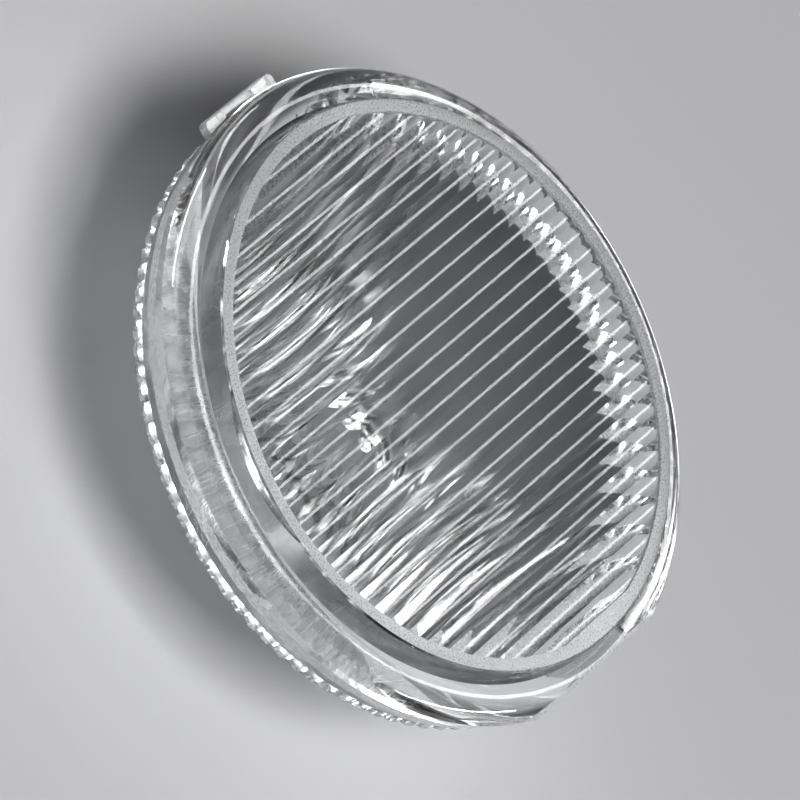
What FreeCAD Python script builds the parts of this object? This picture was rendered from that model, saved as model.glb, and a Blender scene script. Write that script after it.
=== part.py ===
import FreeCAD, Part
import math
import os

from FreeCAD import Vector

os.makedirs("parts", exist_ok=True)

# Collimating lens for one high-power LED, injection moulded in one piece of clear acrylic.
# The optical axis is Z. The LED end stands on the plane Z = 0 and light leaves at the top.
# The LED sits in a recess at the bottom. A bulging reflector wall turns its side light
# upwards by total internal reflection, and a small convex lens above it takes the rest.
# The light leaves through a round field of parallel half-round ribs that run along X and
# spread the beam along Y. The field is sunk, so the ring around it guards the ribs. A
# rounded flange with a drafted side wall carries the lens. It has a fluted rim behind it,
# a keying tab at +Y and a trimmed gate flat at -Y.
# Lengths are millimetres.

# Overall sizes
flange_diameter = 35.0
face_height = 14.6

# Front face, from the flange's outside inwards and from the face ring down
bead_width = 2.0
bead_bulge = 0.55
groove_depth = 1.35
face_wall_run = 0.25
face_ring_width = 0.75
face_bevel = 0.1

# Ribs of the light-spreading field, sunk below the face ring, and the field's flat at -Y
rib_pitch = 1.036
rib_height = 0.16
crest_depth = 0.18
field_flat_cut = 0.3

# Flange side wall, all depths from the face ring, and the bevel at its back
corner_depth = 1.95
wall_depth = 3.8
wall_run = 0.43
flange_thickness = 4.2
back_bevel_run = 0.18

# Fluted rim behind the flange
rim_step = 0.04
rim_width = 1.85
rim_height = 0.75
flute_count = 96
flute_depth = 0.15

# Reflector body
ledge_width = 1.8
reflector_bulge = 0.5
foot_height = 0.6
foot_step = 0.25
foot_ring_width = 1.15

# Recess for the LED: a straight pocket, then a tapered well closed by a convex lens
pocket_diameter = 8.8
pocket_depth = 1.2
well_step = 0.6
well_taper_run = 0.3
well_depth = 6.4
lens_bulge = 1.3

# Keying tab at +Y, just below the parting line, and the shallow pocket in its top
tab_width = 5.95
tab_projection = 0.45
tab_drop = 0.18
tab_thickness = 0.55
tab_corner_radius = 0.3
notch_width = 2.85
notch_reach = 0.33
notch_rim = 0.12
notch_depth = 0.25

# Gate flat at -Y, trimmed further in front of the parting line
gate_flat_cut = 0.9
gate_land_width = 0.4

# How far a solid reaches into its neighbour, or a cutter past the outside
join_depth = 0.5

# Worked out from the sizes above
flange_radius = flange_diameter / 2
groove_radius = flange_radius - bead_width
face_radius = groove_radius - face_wall_run
rib_field_radius = face_radius - face_ring_width
corner_height = face_height - corner_depth
tab_height = corner_height - tab_drop
underside_height = face_height - flange_thickness
wall_foot_radius = flange_radius - wall_run
underside_radius = wall_foot_radius - back_bevel_run
rim_radius = underside_radius - rim_step
rim_bore_radius = rim_radius - rim_width
reflector_top_radius = rim_bore_radius - ledge_width
pocket_radius = pocket_diameter / 2
foot_radius = pocket_radius + foot_ring_width
reflector_foot_radius = foot_radius - foot_step
well_radius = pocket_radius - well_step
well_top_radius = well_radius - well_taper_run


def section_point(radius, height):
    """Point of the half section, in the XZ plane."""
    return Vector(radius, 0, height)


def bulged_arc(start, end, bulge):
    """Arc from start to end that stands off its chord by bulge, to the left of the way."""
    chord = end - start
    left = Vector(-chord.z, 0, chord.x).normalize()
    middle = (start + end) / 2 + left * bulge
    return Part.Arc(start, middle, end).toShape()


def dome_arc(edge_radius, edge_height, bulge):
    """Arc from a rim to the axis, level where it meets the axis, bulging downwards."""
    sphere_radius = (edge_radius ** 2 + bulge ** 2) / (2 * bulge)
    centre_height = edge_height - bulge + sphere_radius
    half_angle = math.asin(edge_radius / sphere_radius) / 2
    middle_radius = sphere_radius * math.sin(half_angle)
    middle_height = centre_height - sphere_radius * math.cos(half_angle)
    middle = section_point(middle_radius, middle_height)
    pole = section_point(0, edge_height - bulge)
    return Part.Arc(section_point(edge_radius, edge_height), middle, pole).toShape()


def turned_body():
    """Everything that is round about the axis, as one turned half section."""
    face_centre = section_point(0, face_height)
    face_edge = section_point(face_radius - face_bevel, face_height)
    face_wall_top = section_point(face_radius, face_height - face_bevel)
    groove = section_point(groove_radius, face_height - groove_depth)
    corner = section_point(flange_radius, corner_height)
    wall_foot = section_point(wall_foot_radius, face_height - wall_depth)
    underside_edge = section_point(underside_radius, underside_height)
    reflector_top = section_point(reflector_top_radius, underside_height)
    reflector_foot = section_point(reflector_foot_radius, foot_height)
    foot_top = section_point(foot_radius, foot_height)
    foot_outside = section_point(foot_radius, 0)
    pocket_mouth = section_point(pocket_radius, 0)
    pocket_top = section_point(pocket_radius, pocket_depth)
    well_mouth = section_point(well_radius, pocket_depth)
    well_top = section_point(well_top_radius, well_depth)
    lens_pole = section_point(0, well_depth - lens_bulge)
    edges = [
        Part.makeLine(face_centre, face_edge),
        Part.makeLine(face_edge, face_wall_top),
        Part.makeLine(face_wall_top, groove),
        bulged_arc(groove, corner, bead_bulge),
        Part.makeLine(corner, wall_foot),
        Part.makeLine(wall_foot, underside_edge),
        Part.makeLine(underside_edge, reflector_top),
        bulged_arc(reflector_top, reflector_foot, -reflector_bulge),
        Part.makeLine(reflector_foot, foot_top),
        Part.makeLine(foot_top, foot_outside),
        Part.makeLine(foot_outside, pocket_mouth),
        Part.makeLine(pocket_mouth, pocket_top),
        Part.makeLine(pocket_top, well_mouth),
        Part.makeLine(well_mouth, well_top),
        dome_arc(well_top_radius, well_depth, lens_bulge),
        Part.makeLine(lens_pole, face_centre),
    ]
    half_section = Part.Face(Part.Wire(edges))
    return half_section.revolve(Vector(0, 0, 0), Vector(0, 0, 1), 360)


def rib_recess():
    """What the sunk field takes out of the face: ribs below, open above, one flat at -Y."""
    ribs_each_side = math.ceil(rib_field_radius / rib_pitch)
    block_side = ribs_each_side * rib_pitch
    block_end = rib_field_radius + join_depth
    crest_height = face_height - crest_depth
    root_height = crest_height - rib_height
    open_height = face_height + join_depth
    edges = []
    for index in range(2 * ribs_each_side):
        left = index * rib_pitch - block_side
        root = Vector(-block_end, left, root_height)
        crest = Vector(-block_end, left + rib_pitch / 2, crest_height)
        next_root = Vector(-block_end, left + rib_pitch, root_height)
        edges.append(Part.Arc(root, crest, next_root).toShape())
    first_root = Vector(-block_end, -block_side, root_height)
    last_root = Vector(-block_end, block_side, root_height)
    first_open = Vector(-block_end, -block_side, open_height)
    last_open = Vector(-block_end, block_side, open_height)
    edges.append(Part.makeLine(last_root, last_open))
    edges.append(Part.makeLine(last_open, first_open))
    edges.append(Part.makeLine(first_open, first_root))
    block = Part.Face(Part.Wire(edges)).extrude(Vector(2 * block_end, 0, 0))
    trim_base = Vector(0, 0, root_height - join_depth)
    trim_height = open_height - root_height + 2 * join_depth
    field = block.common(Part.makeCylinder(rib_field_radius, trim_height, trim_base))
    return field.cut(block_beyond(rib_field_radius - field_flat_cut, trim_base.z))


def rim_point(radius, flute_position):
    """Point of the rim's outline, its place counted in flutes from +X."""
    angle = 2 * math.pi * flute_position / flute_count
    return Vector(radius * math.cos(angle), radius * math.sin(angle), 0)


def fluted_rim():
    """Ring behind the flange whose outside is a row of convex upright flutes."""
    root_radius = rim_radius - flute_depth
    flutes = []
    for index in range(flute_count):
        root = rim_point(root_radius, index)
        crest = rim_point(rim_radius, index + 0.5)
        next_root = rim_point(root_radius, index + 1)
        flutes.append(Part.Arc(root, crest, next_root).toShape())
    outside = Part.Wire(flutes)
    bore = Part.Wire(Part.makeCircle(rim_bore_radius))
    outline = Part.makeFace([outside, bore], "Part::FaceMakerBullseye")
    outline.translate(Vector(0, 0, underside_height - rim_height))
    return outline.extrude(Vector(0, 0, rim_height + join_depth))


def keying_tab():
    """Thin tab on the flange wall at +Y, with a shallow pocket in its top."""
    inner_y = flange_radius - bead_width / 2
    outer_y = flange_radius + tab_projection
    origin = Vector(-tab_width / 2, inner_y, tab_height - tab_thickness)
    tab = Part.makeBox(tab_width, outer_y - inner_y, tab_thickness, origin)
    outer_corners = []
    for edge in tab.Edges:
        upright = abs(edge.tangentAt(edge.FirstParameter).z) > 0.5
        if upright and edge.CenterOfMass.y > (inner_y + outer_y) / 2:
            outer_corners.append(edge)
    return tab.makeFillet(tab_corner_radius, outer_corners)


def tab_notch():
    """Cutter for the pocket, which leaves a thin rim at the tab's outside."""
    far_y = flange_radius + tab_projection - notch_rim
    origin = Vector(-notch_width / 2, far_y - notch_reach, tab_height - notch_depth)
    return Part.makeBox(notch_width, notch_reach, notch_depth, origin)


def block_beyond(distance, height):
    """Cutter for everything further than distance towards -Y, from height upwards."""
    side = 2 * flange_radius
    origin = Vector(-flange_radius, -distance - side, height)
    return Part.makeBox(side, side, face_height, origin)


def lens():
    """The whole moulding as one solid."""
    gate_distance = flange_radius - gate_flat_cut
    body = turned_body()
    body = body.fuse([fluted_rim(), keying_tab()])
    body = body.cut([tab_notch(), rib_recess()])
    body = body.cut(block_beyond(gate_distance, 0))
    body = body.cut(block_beyond(gate_distance - gate_land_width, corner_height))
    return body.Solids[0]


lens().exportStep("parts/lens.step")
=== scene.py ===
import math

import bpy
import numpy as np
from mathutils import Matrix, Vector


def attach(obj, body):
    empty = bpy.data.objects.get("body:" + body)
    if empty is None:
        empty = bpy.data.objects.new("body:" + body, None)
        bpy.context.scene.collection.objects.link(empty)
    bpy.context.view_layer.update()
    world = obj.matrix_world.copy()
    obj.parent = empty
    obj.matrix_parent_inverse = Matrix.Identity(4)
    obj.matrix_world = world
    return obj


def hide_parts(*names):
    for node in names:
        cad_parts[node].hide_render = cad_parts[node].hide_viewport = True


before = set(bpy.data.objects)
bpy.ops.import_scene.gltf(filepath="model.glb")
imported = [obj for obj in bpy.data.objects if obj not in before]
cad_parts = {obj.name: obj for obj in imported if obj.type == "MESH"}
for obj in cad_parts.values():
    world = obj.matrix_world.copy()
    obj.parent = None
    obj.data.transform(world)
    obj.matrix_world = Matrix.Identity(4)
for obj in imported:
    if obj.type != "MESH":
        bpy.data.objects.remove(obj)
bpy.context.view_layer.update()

# Lengths here are millimetres, as in the part's source, and MM turns them into metres.
# The lamps, the camera and the floor's size are further down, next to what uses them.
MM = 0.001
FACE_HEIGHT = 14.6
FLANGE_RADIUS = 17.5
GROOVE_RADIUS = 15.5
FACE_RADIUS = 15.25
FACE_BEVEL = 0.1
FIELD_RADIUS = 14.5
FIELD_FLAT = 14.2
GROOVE_HEIGHT = FACE_HEIGHT - 1.35
CORNER_HEIGHT = FACE_HEIGHT - 1.95
BEAD_BULGE = 0.55
WALL_FOOT = (17.07, FACE_HEIGHT - 3.8)
UNDERSIDE = (16.89, FACE_HEIGHT - 4.2)
RIM_RADIUS = 16.85
RIM_BORE = 15.0
RIM_BOTTOM = UNDERSIDE[1] - 0.75
FLUTE_COUNT = 96
FLUTE_DEPTH = 0.15
REFLECTOR_TOP = 13.2
REFLECTOR_FOOT = (5.3, 0.6)
REFLECTOR_BULGE = 0.5
FOOT_RADIUS = 5.55
POCKET_RADIUS = 4.4
POCKET_DEPTH = 1.2
WELL_MOUTH = 3.8
WELL_TOP = (3.5, 6.4)
LENS_BULGE = 1.3
RIB_PITCH = 1.036
RIB_HEIGHT = 0.16
CREST_DEPTH = 0.18
TAB_WIDTH = 5.95
TAB_OUTER = FLANGE_RADIUS + 0.45
TAB_TOP = CORNER_HEIGHT - 0.18
TAB_THICKNESS = 0.55
TAB_CORNER = 0.3
NOTCH_WIDTH = 2.85
NOTCH_REACH = 0.33
NOTCH_RIM = 0.12
NOTCH_DEPTH = 0.25
GATE_DISTANCE = FLANGE_RADIUS - 0.9
GATE_FRONT_DISTANCE = GATE_DISTANCE - 0.4

# How finely the mesh follows the curves: points around, along each arc, and across a rib
SPIN = 8 * FLUTE_COUNT
BEAD_STEPS = 18
REFLECTOR_STEPS = 24
LENS_STEPS = 12
RIB_STEPS = 12
CORNER_STEPS = 6
SHARP_ANGLE = 24

# Finishes, by their place in the list of materials. NEAR is the slack for telling faces apart, and
# GATE_REACH is how far the gate's frosting reaches inwards.
POLISHED, FROSTED, SATIN, MATT_SATIN = range(4)
NEAR = 0.02
GATE_REACH = 0.2


def arc_points(start, end, bulge, count):
    """Points after start up to end, on an arc that stands off its chord by bulge to the left."""
    start, end = np.array(start, float), np.array(end, float)
    chord = end - start
    length = np.linalg.norm(chord)
    left = np.array([-chord[1], chord[0]]) / length
    radius = ((length / 2) ** 2 + bulge ** 2) / (2 * abs(bulge))
    centre = (start + end) / 2 + left * (bulge - math.copysign(radius, bulge))
    first = math.atan2(*(start - centre)[::-1])
    last = math.atan2(*(end - centre)[::-1])
    sweep = (last - first + math.pi) % (2 * math.pi) - math.pi
    angles = first + sweep * np.arange(1, count + 1) / count
    return [tuple(centre + radius * np.array([math.cos(a), math.sin(a)])) for a in angles]


def dome_points(edge, bulge, count):
    """Points after the rim of the inner lens towards its pole, which is left out."""
    radius = (edge[0] ** 2 + bulge ** 2) / (2 * bulge)
    centre = edge[1] - bulge + radius
    half = math.asin(edge[0] / radius)
    angles = half * np.arange(count - 1, 0, -1) / count
    return [(radius * math.sin(a), centre - radius * math.cos(a)) for a in angles]


def rib_surface(y):
    """Height of the ribbed field at y."""
    half = RIB_PITCH / 2
    radius = (half ** 2 + RIB_HEIGHT ** 2) / (2 * RIB_HEIGHT)
    across = (y % RIB_PITCH) - half
    return FACE_HEIGHT - CREST_DEPTH - radius + math.sqrt(radius ** 2 - across ** 2)


def rib_lines():
    """The y values of the lines that rule the field, from its flat almost to the far edge."""
    first = math.floor(-FIELD_FLAT / RIB_PITCH * RIB_STEPS) + 1
    last = math.ceil(FIELD_RADIUS / RIB_PITCH * RIB_STEPS) - 1
    return [-FIELD_FLAT] + [index * RIB_PITCH / RIB_STEPS for index in range(first, last + 1)]


def zip_rings(outer, inner, outer_angles, inner_angles):
    """Triangles between two closed rings of point numbers, both sorted by their angle."""
    faces = []
    i = j = 0
    outer_count, inner_count = len(outer), len(inner)
    outer_angles = outer_angles + [outer_angles[0] + 2 * math.pi]
    inner_angles = inner_angles + [inner_angles[0] + 2 * math.pi]
    while i < outer_count or j < inner_count:
        step_outer = i < outer_count
        if step_outer and j < inner_count:
            step_outer = outer_angles[i + 1] <= inner_angles[j + 1]
        if step_outer:
            faces.append((outer[i], outer[(i + 1) % outer_count], inner[j % inner_count]))
            i += 1
        else:
            faces.append((outer[i % outer_count], inner[(j + 1) % inner_count], inner[j]))
            j += 1
    return faces


def flute_radii(angles):
    """Radius of the rim's outline at each angle, a row of convex arcs."""
    flute_angle = 2 * math.pi / FLUTE_COUNT
    chord_half = RIM_RADIUS * math.sin(flute_angle / 2)
    bow = FLUTE_DEPTH + RIM_RADIUS * (1 - math.cos(flute_angle / 2))
    flute_radius = (chord_half ** 2 + bow ** 2) / (2 * bow)
    centre = RIM_RADIUS - flute_radius
    place = (angles % flute_angle) - flute_angle / 2
    return centre * np.cos(place) + np.sqrt(flute_radius ** 2 - (centre * np.sin(place)) ** 2)


def half_section():
    """Radius and height along the turned body, from the face's edge round to the inner lens."""
    section = [(FACE_RADIUS - FACE_BEVEL, FACE_HEIGHT), (FACE_RADIUS, FACE_HEIGHT - FACE_BEVEL)]
    section += [(GROOVE_RADIUS, GROOVE_HEIGHT)]
    section += arc_points(section[-1], (FLANGE_RADIUS, CORNER_HEIGHT), BEAD_BULGE, BEAD_STEPS)
    section += [WALL_FOOT, UNDERSIDE, ("fluted", UNDERSIDE[1]), ("fluted", RIM_BOTTOM)]
    section += [(RIM_BORE, RIM_BOTTOM), (RIM_BORE, UNDERSIDE[1]), (REFLECTOR_TOP, UNDERSIDE[1])]
    section += arc_points(section[-1], REFLECTOR_FOOT, -REFLECTOR_BULGE, REFLECTOR_STEPS)
    section += [(FOOT_RADIUS, REFLECTOR_FOOT[1]), (FOOT_RADIUS, 0), (POCKET_RADIUS, 0)]
    section += [(POCKET_RADIUS, POCKET_DEPTH), (WELL_MOUTH, POCKET_DEPTH), WELL_TOP]
    section += dome_points(WELL_TOP, LENS_BULGE, LENS_STEPS)
    return section


def turned_surface(angles):
    """Points and faces of the turned body, and the ring of point numbers at the face's edge."""
    fluted = flute_radii(angles)
    points, faces, rings = [], [], []
    for radius, height in half_section():
        radii = fluted if radius == "fluted" else np.full(SPIN, radius)
        rings.append(list(range(len(points), len(points) + SPIN)))
        points += list(zip(radii * np.cos(angles), radii * np.sin(angles), np.full(SPIN, height)))
    for upper, lower in zip(rings, rings[1:]):
        for k in range(SPIN):
            following = (k + 1) % SPIN
            faces.append((upper[k], lower[k], lower[following], upper[following]))
    pole = len(points)
    points.append((0, 0, WELL_TOP[1] - LENS_BULGE))
    for k in range(SPIN):
        faces.append((rings[-1][k], pole, rings[-1][(k + 1) % SPIN]))
    return points, faces, rings[0]


def add_field(points, faces):
    """Adds the ribs and the wall around them, and returns the ring at the wall's upper edge."""
    right_top, right_low, left_top, left_low = [], [], [], []
    lines = rib_lines()
    for y in lines:
        half_width = math.sqrt(FIELD_RADIUS ** 2 - y ** 2)
        for side, tops, lows in ((1, right_top, right_low), (-1, left_top, left_low)):
            tops.append(len(points))
            points.append((side * half_width, y, FACE_HEIGHT))
            lows.append(len(points))
            points.append((side * half_width, y, rib_surface(y)))
    far_top = len(points)
    points.append((0, FIELD_RADIUS, FACE_HEIGHT))
    far_low = len(points)
    points.append((0, FIELD_RADIUS, rib_surface(FIELD_RADIUS)))
    for k in range(len(lines) - 1):
        faces.append((left_low[k], right_low[k], right_low[k + 1], left_low[k + 1]))
        faces.append((right_top[k], right_top[k + 1], right_low[k + 1], right_low[k]))
        faces.append((left_low[k], left_low[k + 1], left_top[k + 1], left_top[k]))
    faces.append((left_low[-1], right_low[-1], far_low))
    faces.append((right_top[-1], far_top, far_low, right_low[-1]))
    faces.append((left_low[-1], far_low, far_top, left_top[-1]))
    faces.append((left_top[0], right_top[0], right_low[0], left_low[0]))
    return right_top + [far_top] + left_top[::-1]


def moulding_mesh():
    """Points and faces of the lens without its tab and gate flat."""
    angles = 2 * np.pi * np.arange(SPIN) / SPIN
    points, faces, face_edge = turned_surface(angles)
    inner = add_field(points, faces)
    inner_angles = [math.atan2(points[p][1], points[p][0]) for p in inner]
    inner_angles = [a if a >= inner_angles[0] else a + 2 * math.pi for a in inner_angles]
    start = int(np.searchsorted(angles - 2 * np.pi, inner_angles[0]))
    order = [(start + k) % SPIN for k in range(SPIN)]
    outer = [face_edge[k] for k in order]
    outer_angles = [angles[k] - 2 * np.pi if k >= start else angles[k] for k in order]
    faces += zip_rings(outer, inner, outer_angles, inner_angles)
    return points, faces


def make_object(name, points, faces):
    """New object in the scene from points in millimetres."""
    mesh = bpy.data.meshes.new(name)
    mesh.from_pydata([(x * MM, y * MM, z * MM) for x, y, z in points], [], faces)
    mesh.update()
    thing = bpy.data.objects.new(name, mesh)
    bpy.context.scene.collection.objects.link(thing)
    return thing


def box_object(name, low, high):
    """Box between two corners."""
    (x0, y0, z0), (x1, y1, z1) = low, high
    points = [(x, y, z) for z in (z0, z1) for y in (y0, y1) for x in (x0, x1)]
    faces = [(0, 2, 3, 1), (4, 5, 7, 6), (0, 1, 5, 4), (2, 6, 7, 3), (0, 4, 6, 2), (1, 3, 7, 5)]
    return make_object(name, points, faces)


def tab_object():
    """Keying tab with its two rounded outer corners."""
    inner_y = (GROOVE_RADIUS + FLANGE_RADIUS) / 2
    half = TAB_WIDTH / 2
    outline = [(-half, inner_y), (half, inner_y)]
    for centre_x, first in ((half - TAB_CORNER, 0), (-half + TAB_CORNER, 90)):
        for step in range(CORNER_STEPS + 1):
            angle = math.radians(first + 90 / CORNER_STEPS * step)
            x = centre_x + TAB_CORNER * math.cos(angle)
            outline.append((x, TAB_OUTER - TAB_CORNER + TAB_CORNER * math.sin(angle)))
    count = len(outline)
    points = [(x, y, TAB_TOP - TAB_THICKNESS) for x, y in outline]
    points += [(x, y, TAB_TOP) for x, y in outline]
    faces = [tuple(range(count - 1, -1, -1)), tuple(range(count, 2 * count))]
    for k in range(count):
        following = (k + 1) % count
        faces.append((k, following, following + count, k + count))
    return make_object("tab", points, faces)


def combine(body, other, operation):
    """Applies one exact boolean to body and removes the other object."""
    modifier = body.modifiers.new("combine", "BOOLEAN")
    modifier.operation = operation
    modifier.solver = "EXACT"
    modifier.object = other
    graph = bpy.context.evaluated_depsgraph_get()
    combined = bpy.data.meshes.new_from_object(body.evaluated_get(graph))
    body.modifiers.clear()
    body.data = combined
    bpy.data.objects.remove(other)


# The lens: the moulding with its tab, less what the gate flat trims off. PAST is how far a cutter
# reaches past the outside.
PAST = 1.0
body = make_object("lens_clear", *moulding_mesh())
tab = tab_object()
notch_far = TAB_OUTER - NOTCH_RIM
notch_low = (-NOTCH_WIDTH / 2, notch_far - NOTCH_REACH, TAB_TOP - NOTCH_DEPTH)
notch_high = (NOTCH_WIDTH / 2, notch_far, TAB_TOP + PAST)
combine(tab, box_object("notch", notch_low, notch_high), "DIFFERENCE")
combine(body, tab, "UNION")
for floor_of_cut, distance in ((-PAST, GATE_DISTANCE), (CORNER_HEIGHT, GATE_FRONT_DISTANCE)):
    cut_low = (-FLANGE_RADIUS - PAST, -FLANGE_RADIUS - PAST, floor_of_cut)
    cut_high = (FLANGE_RADIUS + PAST, -distance, FACE_HEIGHT + PAST)
    combine(body, box_object("gate_cut", cut_low, cut_high), "DIFFERENCE")
for polygon in body.data.polygons:
    polygon.use_smooth = True
body.data.set_sharp_from_angle(angle=math.radians(SHARP_ANGLE))
body.data.name = "lens_clear"


class Nodes:
    """Short calls for building one material's node tree around its Principled shader."""

    def __init__(self, name):
        self.material = bpy.data.materials.new(name)
        self.material.use_nodes = True
        self.tree = self.material.node_tree
        self.shader = self.tree.nodes["Principled BSDF"]
        place = self.tree.nodes.new("ShaderNodeTexCoord").outputs["Object"]
        self.place = self.vector("SCALE", place, scale=1 / MM)

    def link(self, source, socket):
        """Joins a socket to another one, or sets it to a plain value."""
        if isinstance(source, bpy.types.NodeSocket):
            self.tree.links.new(source, socket)
        else:
            socket.default_value = source

    def add(self, kind, output, settings, **inputs):
        """New node with these settings and inputs, and one of its outputs."""
        made = self.tree.nodes.new(kind)
        for key, value in settings.items():
            setattr(made, key, value)
        for key, value in inputs.items():
            self.link(value, made.inputs[key])
        return made.outputs[output]

    def vector(self, operation, first, second=None, scale=None):
        """Vector Math node."""
        made = self.tree.nodes.new("ShaderNodeVectorMath")
        made.operation = operation
        self.link(first, made.inputs[0])
        if second is not None:
            self.link(second, made.inputs[1])
        if scale is not None:
            self.link(scale, made.inputs["Scale"])
        return made.outputs["Vector"]

    def math(self, operation, *values):
        """Math node."""
        made = self.tree.nodes.new("ShaderNodeMath")
        made.operation = operation
        for value, socket in zip(values, made.inputs):
            self.link(value, socket)
        return made.outputs[0]

    def ramp(self, value, low, high, bottom=0.0, top=1.0):
        """Smooth step from bottom to top while the value goes from low to high."""
        made = self.tree.nodes.new("ShaderNodeMapRange")
        made.interpolation_type = "SMOOTHSTEP"
        numbers = (value, low, high, bottom, top)
        for key, number in zip(("Value", "From Min", "From Max", "To Min", "To Max"), numbers):
            self.link(number, made.inputs[key])
        return made.outputs["Result"]

    def noise(self, scale, detail=2.0, roughness=0.5, place=None):
        """Noise with that many grains to a millimetre."""
        return self.add("ShaderNodeTexNoise", "Fac", {}, Vector=place or self.place, Scale=scale,
                        Detail=detail, Roughness=roughness)

    def shades(self, value, dark, light):
        """Colour that goes from dark to light over the middle of a noise."""
        made = self.tree.nodes.new("ShaderNodeValToRGB")
        for place, (position, colour) in enumerate(((0.36, dark), (0.62, light))):
            made.color_ramp.elements[place].position = position
            made.color_ramp.elements[place].color = colour
        self.link(value, made.inputs["Fac"])
        return made.outputs["Color"]

    def hairlines(self, turn, length, width, cut):
        """Thin straight marks of about that length and width in millimetres, in one direction."""
        turned = self.add("ShaderNodeMapping", "Vector", {}, Vector=self.place, Rotation=turn)
        drawn = self.vector("MULTIPLY", turned, (1 / length, 1 / width, 1 / length))
        return self.ramp(self.noise(1.0, 1.0, 0.5, drawn), cut, cut + 0.05)

    def bump(self, height, strength, distance, normal=None):
        """Normal of a relief whose depth is distance, in millimetres."""
        made = self.tree.nodes.new("ShaderNodeBump")
        made.inputs["Strength"].default_value = strength
        made.inputs["Distance"].default_value = distance * MM
        self.link(height, made.inputs["Height"])
        if normal is not None:
            self.link(normal, made.inputs["Normal"])
        return made.outputs["Normal"]


def acrylic(name, colour, transmission):
    """Nodes of a clear plastic with acrylic's refractive index."""
    made = Nodes(name)
    made.shader.inputs["Base Color"].default_value = colour
    made.shader.inputs["IOR"].default_value = 1.49
    made.shader.inputs["Transmission Weight"].default_value = transmission
    return made


def polished_acrylic():
    """Moulded gloss with hairline scratches and a faint flow texture."""
    made = acrylic("acrylic_polished", (0.97, 0.985, 0.99, 1), 1.0)
    scratches = made.hairlines(turn=(0.3, 0.2, 0.5), length=2.5, width=0.03, cut=0.66)
    across = made.hairlines(turn=(0.1, 0.6, 1.9), length=2.0, width=0.025, cut=0.67)
    scratches = made.math("MAXIMUM", scratches, across)
    slanted = made.hairlines(turn=(0.5, 0.1, 2.7), length=3.0, width=0.03, cut=0.68)
    scratches = made.math("MAXIMUM", scratches, slanted)
    smudge = made.ramp(made.noise(0.35, detail=3.0, roughness=0.6), 0.5, 0.75)
    haze = made.math("MULTIPLY_ADD", smudge, 0.03, 0.015)
    rough = made.math("MULTIPLY_ADD", scratches, 0.22, haze)
    made.link(rough, made.shader.inputs["Roughness"])
    flow = made.bump(made.noise(0.5, detail=1.0, roughness=0.4), strength=0.15, distance=0.02)
    relief = made.bump(scratches, strength=0.4, distance=-0.002, normal=flow)
    made.link(relief, made.shader.inputs["Normal"])
    return made.material


def frosted_acrylic():
    """Spark-eroded texture of the mould: fine grains that scatter the light."""
    made = acrylic("acrylic_frosted", (0.95, 0.96, 0.97, 1), 0.75)
    grain = made.noise(10.0, detail=3.0, roughness=0.7)
    colour = made.shades(grain, dark=(0.74, 0.75, 0.76, 1), light=(0.97, 0.98, 0.99, 1))
    made.link(colour, made.shader.inputs["Base Color"])
    rough = made.ramp(grain, 0.3, 0.7, bottom=0.22, top=0.45)
    made.link(rough, made.shader.inputs["Roughness"])
    uneven = made.bump(made.noise(2.6), strength=0.3, distance=0.03)
    relief = made.bump(grain, strength=0.7, distance=0.05, normal=uneven)
    made.link(relief, made.shader.inputs["Normal"])
    return made.material


def satin_acrylic(name, roughness, relief):
    """Faces as they come from a mould insert that is a little less than polished."""
    made = acrylic(name, (0.96, 0.975, 0.98, 1), 1.0)
    stipple = made.noise(4.0, roughness=0.6)
    made.link(made.ramp(stipple, 0.3, 0.7, *roughness), made.shader.inputs["Roughness"])
    made.link(made.bump(stipple, strength=relief, distance=0.02), made.shader.inputs["Normal"])
    return made.material


def finish_index(polygon):
    """Which finish a face has, from where it lies and how it faces."""
    x, y, z = (value / MM for value in polygon.center)
    radius = math.hypot(x, y)
    facing = polygon.normal
    upright = abs(facing.z) < 0.3
    looks_down = facing.z < -0.9
    looks_to_gate = facing.y < -0.99
    ring_edge = FACE_RADIUS - FACE_BEVEL + NEAR
    on_ring = z > FACE_HEIGHT - NEAR and FIELD_FLAT - NEAR < radius < ring_edge
    above_roots = z > FACE_HEIGHT - CREST_DEPTH - RIB_HEIGHT - NEAR
    on_field_wall = above_roots and upright and radius < FIELD_RADIUS + NEAR
    in_notch = abs(z - TAB_TOP + NOTCH_DEPTH) < NEAR and abs(x) < NOTCH_WIDTH / 2
    at_tab = y > 0 and abs(x) < TAB_WIDTH / 2 + NEAR and radius > FLANGE_RADIUS - NEAR
    on_tab = at_tab and z < CORNER_HEIGHT and not in_notch and not looks_down
    at_gate = y < GATE_REACH - GATE_FRONT_DISTANCE
    on_gate = at_gate and (looks_to_gate or abs(z - CORNER_HEIGHT) < NEAR)
    if on_ring or on_field_wall or on_tab or on_gate:
        return FROSTED
    if z < UNDERSIDE[1] - NEAR and radius < REFLECTOR_TOP:
        return SATIN
    if abs(z - UNDERSIDE[1]) < NEAR and REFLECTOR_TOP < radius < RIM_BORE:
        return MATT_SATIN
    return POLISHED


body.data.materials.clear()
satin = satin_acrylic("acrylic_satin", roughness=(0.06, 0.14), relief=0.35)
matt_satin = satin_acrylic("acrylic_matt_satin", roughness=(0.24, 0.32), relief=0.06)
for finish in (polished_acrylic(), frosted_acrylic(), satin, matt_satin):
    body.data.materials.append(finish)
for polygon in body.data.polygons:
    polygon.material_index = finish_index(polygon)

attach(body, "root")
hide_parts("lens")

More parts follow.
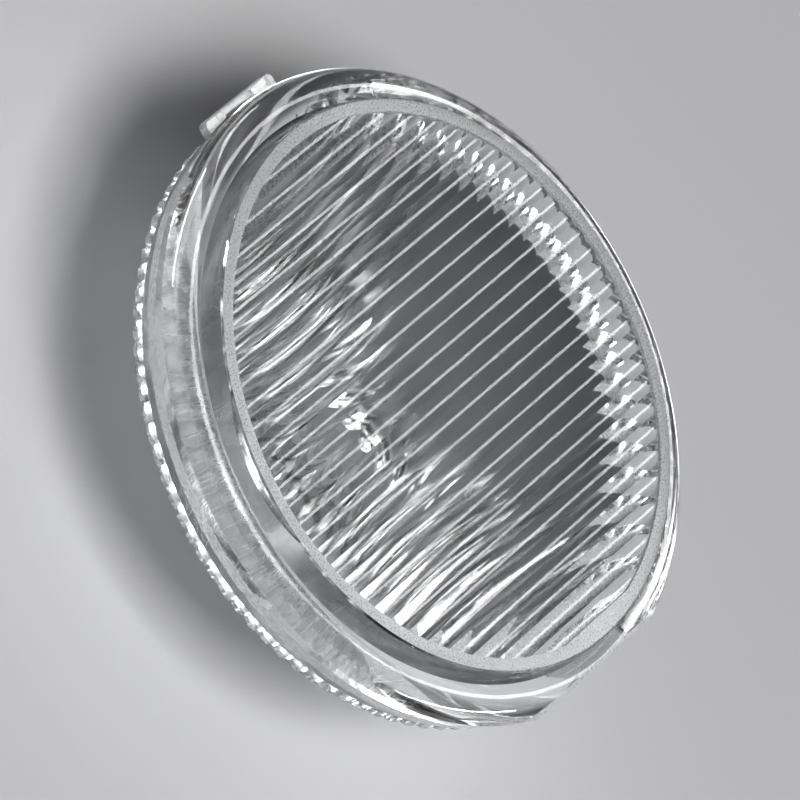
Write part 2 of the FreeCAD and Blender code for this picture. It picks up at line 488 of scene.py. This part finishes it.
# Pale floor, just under the lens, with no gloss, so that the lamps leave no patches on it
FLOOR_HALF = 900
FLOOR_HEIGHT = -0.02
floor_corners = [(-1, -1), (1, -1), (1, 1), (-1, 1)]
floor_points = [(x * FLOOR_HALF, y * FLOOR_HALF, FLOOR_HEIGHT) for x, y in floor_corners]
floor = make_object("floor", floor_points, [(0, 1, 2, 3)])
floor_material = bpy.data.materials.new("pale_floor")
floor_material.use_nodes = True
floor_shader = floor_material.node_tree.nodes["Principled BSDF"]
floor_shader.inputs["Base Color"].default_value = (0.5, 0.5, 0.51, 1)
floor_shader.inputs["Roughness"].default_value = 0.6
floor_shader.inputs["Specular IOR Level"].default_value = 0.0
floor.data.materials.append(floor_material)

# Studio light
world = bpy.data.worlds.new("studio")
bpy.context.scene.world = world
world.use_nodes = True
background = world.node_tree.nodes["Background"]
background.inputs["Color"].default_value = (0.6, 0.6, 0.62, 1)
background.inputs["Strength"].default_value = 0.06
AIM_HEIGHT = 0.01


def lamp(name, direction, distance, size, power):
    """Soft box in that direction from the lens, turned to it, in metres and watts."""
    data = bpy.data.lights.new(name, "AREA")
    data.shape = "RECTANGLE"
    data.size, data.size_y = size
    data.energy = power
    thing = bpy.data.objects.new(name, data)
    away = Vector(direction).normalized()
    thing.location = away * distance + Vector((0, 0, AIM_HEIGHT))
    thing.rotation_euler = (-away).to_track_quat("-Z", "Y").to_euler()
    bpy.context.scene.collection.objects.link(thing)
    return thing


# The key lamp shows only by the floor that it lights, and the others only in the plastic.
key = lamp("key", (-0.45, -0.15, 0.88), 0.7, (0.25, 0.25), 5.4)
key.visible_transmission = False
key.visible_glossy = False
GLOSS_LAMPS = [
    ("back_strip", (0.70, -0.12, 0.70), 0.6, (0.12, 0.45), 1.5),
    ("left_box", (0.22, 0.8, 0.6), 0.6, (0.5, 0.35), 1.4),
    ("right_box", (0.22, -0.8, 0.6), 0.6, (0.5, 0.35), 0.6),
    ("left_strip", (0.1, 0.85, 0.5), 0.55, (0.35, 0.035), 2.0),
    ("right_strip", (0.1, -0.85, 0.5), 0.55, (0.35, 0.035), 2.0),
]
for settings in GLOSS_LAMPS:
    lamp(*settings).visible_diffuse = False

# Camera at the photograph's viewing angle: the face's tilt away from the camera, the lean of
# its long axis in the image, and the part's turn about its own axis. VIEW_OF_FACE is where the
# middle of the face lies from the camera: right, down and ahead, in millimetres. The focal
# length and the sensor's width are millimetres too, and NEAREST is metres.
TILT, LEAN, PART_TURN = math.radians(46.35), math.radians(66.0), math.radians(101.5)
VIEW_OF_FACE = (2.578, -0.857, 480.0)
FOCAL_LENGTH = 426.4
SENSOR_WIDTH = 36.0
NEAREST = 0.05
photo_x = Vector((math.cos(LEAN), math.sin(LEAN), 0))
along = math.cos(TILT)
photo_y = Vector((math.sin(LEAN) * along, -math.cos(LEAN) * along, math.sin(TILT)))
part_x = photo_x * math.cos(PART_TURN) + photo_y * math.sin(PART_TURN)
part_y = photo_y * math.cos(PART_TURN) - photo_x * math.sin(PART_TURN)
part_z = part_x.cross(part_y)
to_part = Matrix((part_x, part_y, part_z))
eye = Vector((0, 0, FACE_HEIGHT * MM)) - to_part @ (Vector(VIEW_OF_FACE) * MM)
camera_data = bpy.data.cameras.new("camera")
camera_data.lens = FOCAL_LENGTH
camera_data.sensor_width = SENSOR_WIDTH
camera_data.clip_start = NEAREST
camera = bpy.data.objects.new("camera", camera_data)
bpy.context.scene.collection.objects.link(camera)
turn = to_part @ Matrix(((1, 0, 0), (0, -1, 0), (0, 0, -1)))
camera.matrix_world = Matrix.Translation(eye) @ turn.to_4x4()
bpy.context.scene.camera = camera

bpy.context.scene.view_settings.view_transform = "Standard"

bpy.context.view_layer.update()
